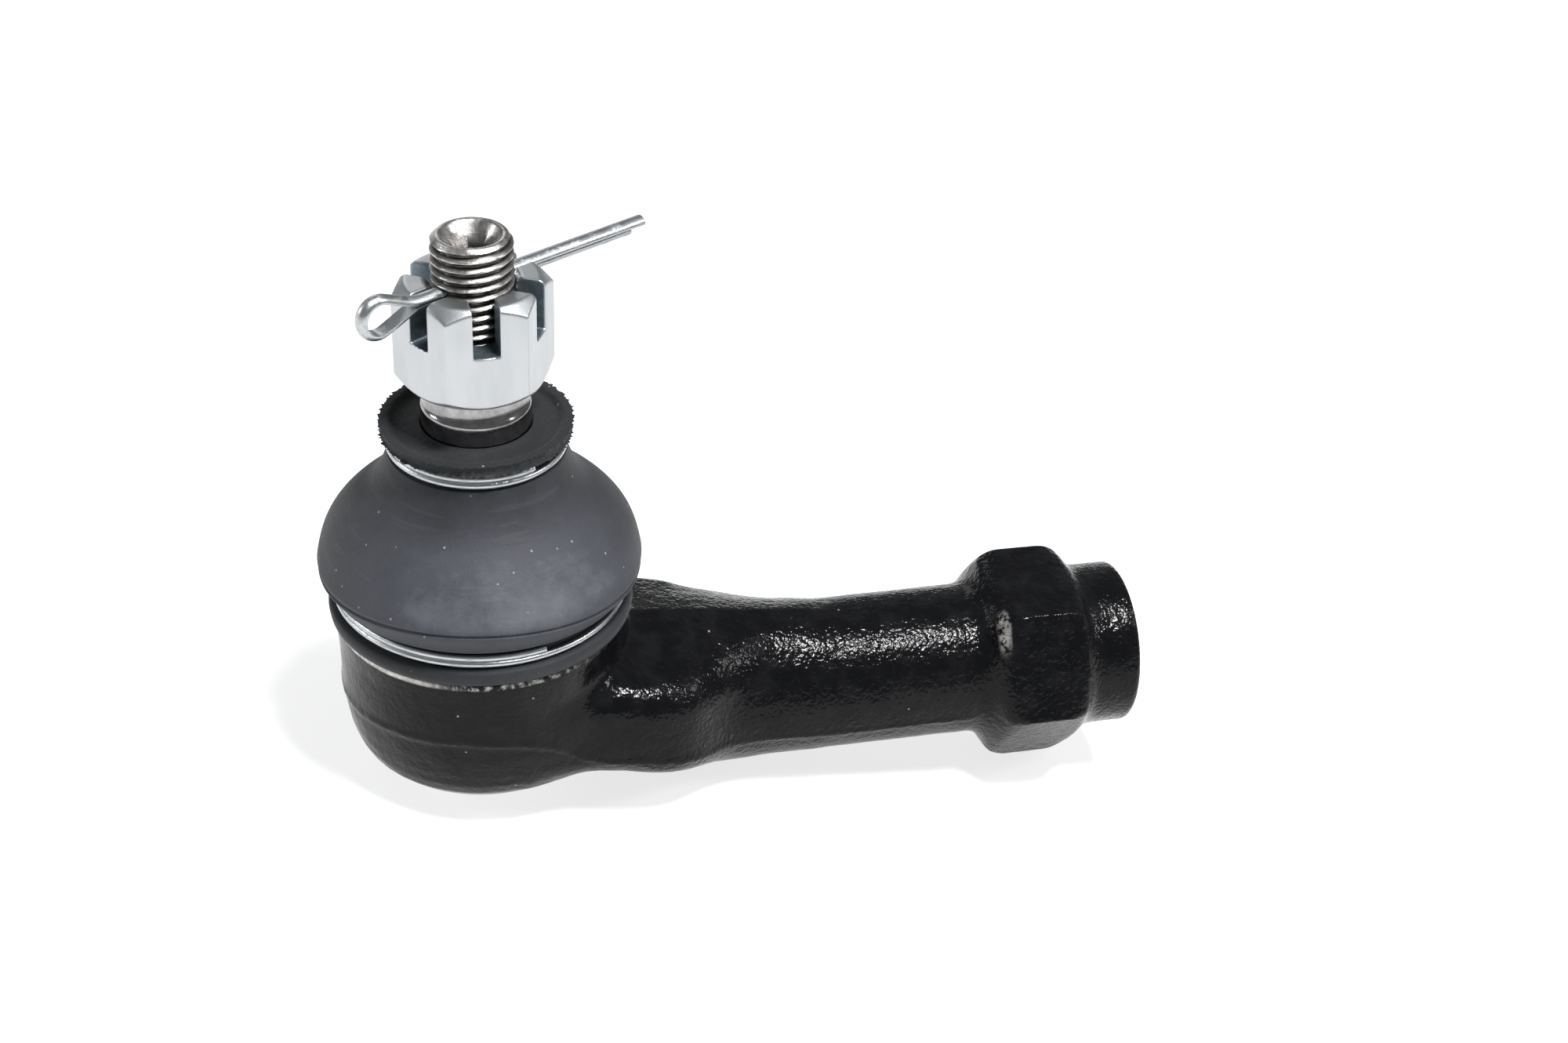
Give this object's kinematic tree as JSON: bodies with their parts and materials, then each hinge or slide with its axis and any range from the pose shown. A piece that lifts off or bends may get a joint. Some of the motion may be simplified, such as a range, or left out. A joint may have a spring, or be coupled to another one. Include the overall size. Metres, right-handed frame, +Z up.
{
  "type": "tie rod end",
  "caption": "Outer tie rod end: forged cup and threaded arm holding a ball stud under a rubber boot, with a castle nut and a cotter pin.",
  "frame": {"origin": "centre of the ball", "axes": "+Z up along the stud at rest, +X out along the arm towards its threaded end"},
  "size_m": [0.1079, 0.0408, 0.083],
  "materials": {
    "black_paint": "glossy black paint over a forged skin",
    "plain_steel": "stamped steel, lightly oiled",
    "seat_plastic": "moulded acetal",
    "spring_steel": "blued spring steel",
    "stud_steel": "ground and polished shoulder, plain rolled thread",
    "boot_rubber": "matte rubber with a dusty bloom",
    "zinc_wire": "bright zinc-plated wire",
    "zinc_nut": "bright bluish zinc plating"
  },
  "bodies": {
    "housing": {"housing": "black_paint", "end_cap": "plain_steel", "bearing_seat_upper": "seat_plastic", "bearing_seat_lower": "seat_plastic", "preload_spring": "spring_steel"},
    "boot": {"dust_boot": "boot_rubber", "lower_clip_ring": "zinc_wire"},
    "boot_neck": {"upper_clip_ring": "zinc_wire"},
    "stud": {"ball_stud": "stud_steel", "castle_nut": "zinc_nut"},
    "pin": {"cotter_pin": "zinc_wire"}
  },
  "joints": [
    {"name": "boot_turn", "type": "hinge", "parent": "housing", "child": "boot", "pos_m": [0, 0, 0], "axis": [0, 0, 1], "continuous": true},
    {"name": "stud_swing", "type": "hinge", "parent": "boot", "child": "boot_neck", "pos_m": [0, 0, 0], "axis": [0, 1, 0], "range_deg": [-22, 22], "deforming": ["dust_boot"]},
    {"name": "stud_spin", "type": "hinge", "parent": "boot_neck", "child": "stud", "pos_m": [0, 0, 0], "axis": [0, 0, 1], "continuous": true},
    {"name": "cotter_pull", "type": "slide", "parent": "stud", "child": "pin", "axis": [-0.8746, -0.4848, 0], "range_m": [0, 0.045]}
  ]
}
